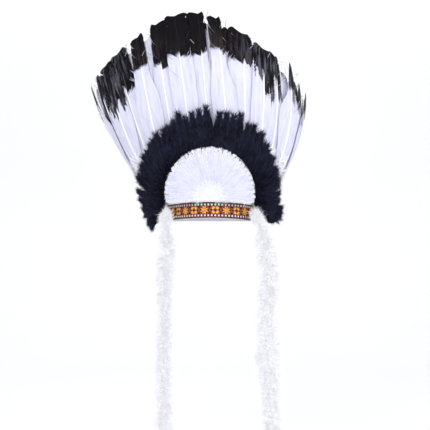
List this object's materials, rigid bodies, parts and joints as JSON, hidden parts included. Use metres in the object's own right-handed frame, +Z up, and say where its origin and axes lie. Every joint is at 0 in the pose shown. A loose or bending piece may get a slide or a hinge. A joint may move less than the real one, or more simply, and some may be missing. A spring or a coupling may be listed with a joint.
{
  "type": "feathered headdress",
  "caption": "Fan of tall black-tipped white feathers on a flared backing over a headband, with a black down ruff, a white crest, a woven brow ribbon and hanging down drops.",
  "frame": {"origin": "centre of the headband's lower edge, level with the brow, where the band sits round the head", "axes": "+Z up along the tall feathers, -Y out of the brow where the ribbon is, +X to the wearer's left, which is the viewer's right"},
  "size_m": [0.4081, 0.2157, 0.8134],
  "materials": {
    "band_felt": "matte brushed cloth",
    "backing_felt": "matte felt",
    "woven_ribbon": "woven, slightly shiny yarn",
    "front_vane": "satin feather vane, white with black tips",
    "back_vane": "satin feather vane, white",
    "black_down": "fluffy black down",
    "crest_vane": "satin feather vane, white",
    "white_down": "fluffy white down"
  },
  "bodies": {
    "root": {"headband": "band_felt", "backing": "backing_felt", "brow_ribbon": "woven_ribbon", "back_feather_01": "back_vane", "back_feather_02": "back_vane", "back_feather_03": "back_vane", "back_feather_04": "back_vane", "back_feather_05": "back_vane", "back_feather_06": "back_vane", "back_feather_07": "back_vane", "back_feather_08": "back_vane", "back_feather_09": "back_vane", "back_feather_10": "back_vane", "back_feather_11": "back_vane", "back_feather_12": "back_vane", "back_feather_13": "back_vane", "back_feather_14": "back_vane", "back_feather_15": "back_vane", "back_feather_16": "back_vane", "front_feather_01": "front_vane", "front_feather_02": "front_vane", "front_feather_03": "front_vane", "front_feather_04": "front_vane", "front_feather_05": "front_vane", "front_feather_06": "front_vane", "front_feather_07": "front_vane", "front_feather_08": "front_vane", "front_feather_09": "front_vane", "front_feather_10": "front_vane", "front_feather_11": "front_vane", "front_feather_12": "front_vane", "front_feather_13": "front_vane", "front_feather_14": "front_vane", "front_feather_15": "front_vane", "front_feather_16": "front_vane", "front_feather_17": "front_vane", "ruff": "black_down", "crest": "crest_vane", "drop_left": "white_down", "drop_right": "white_down"}
  },
  "joints": []
}
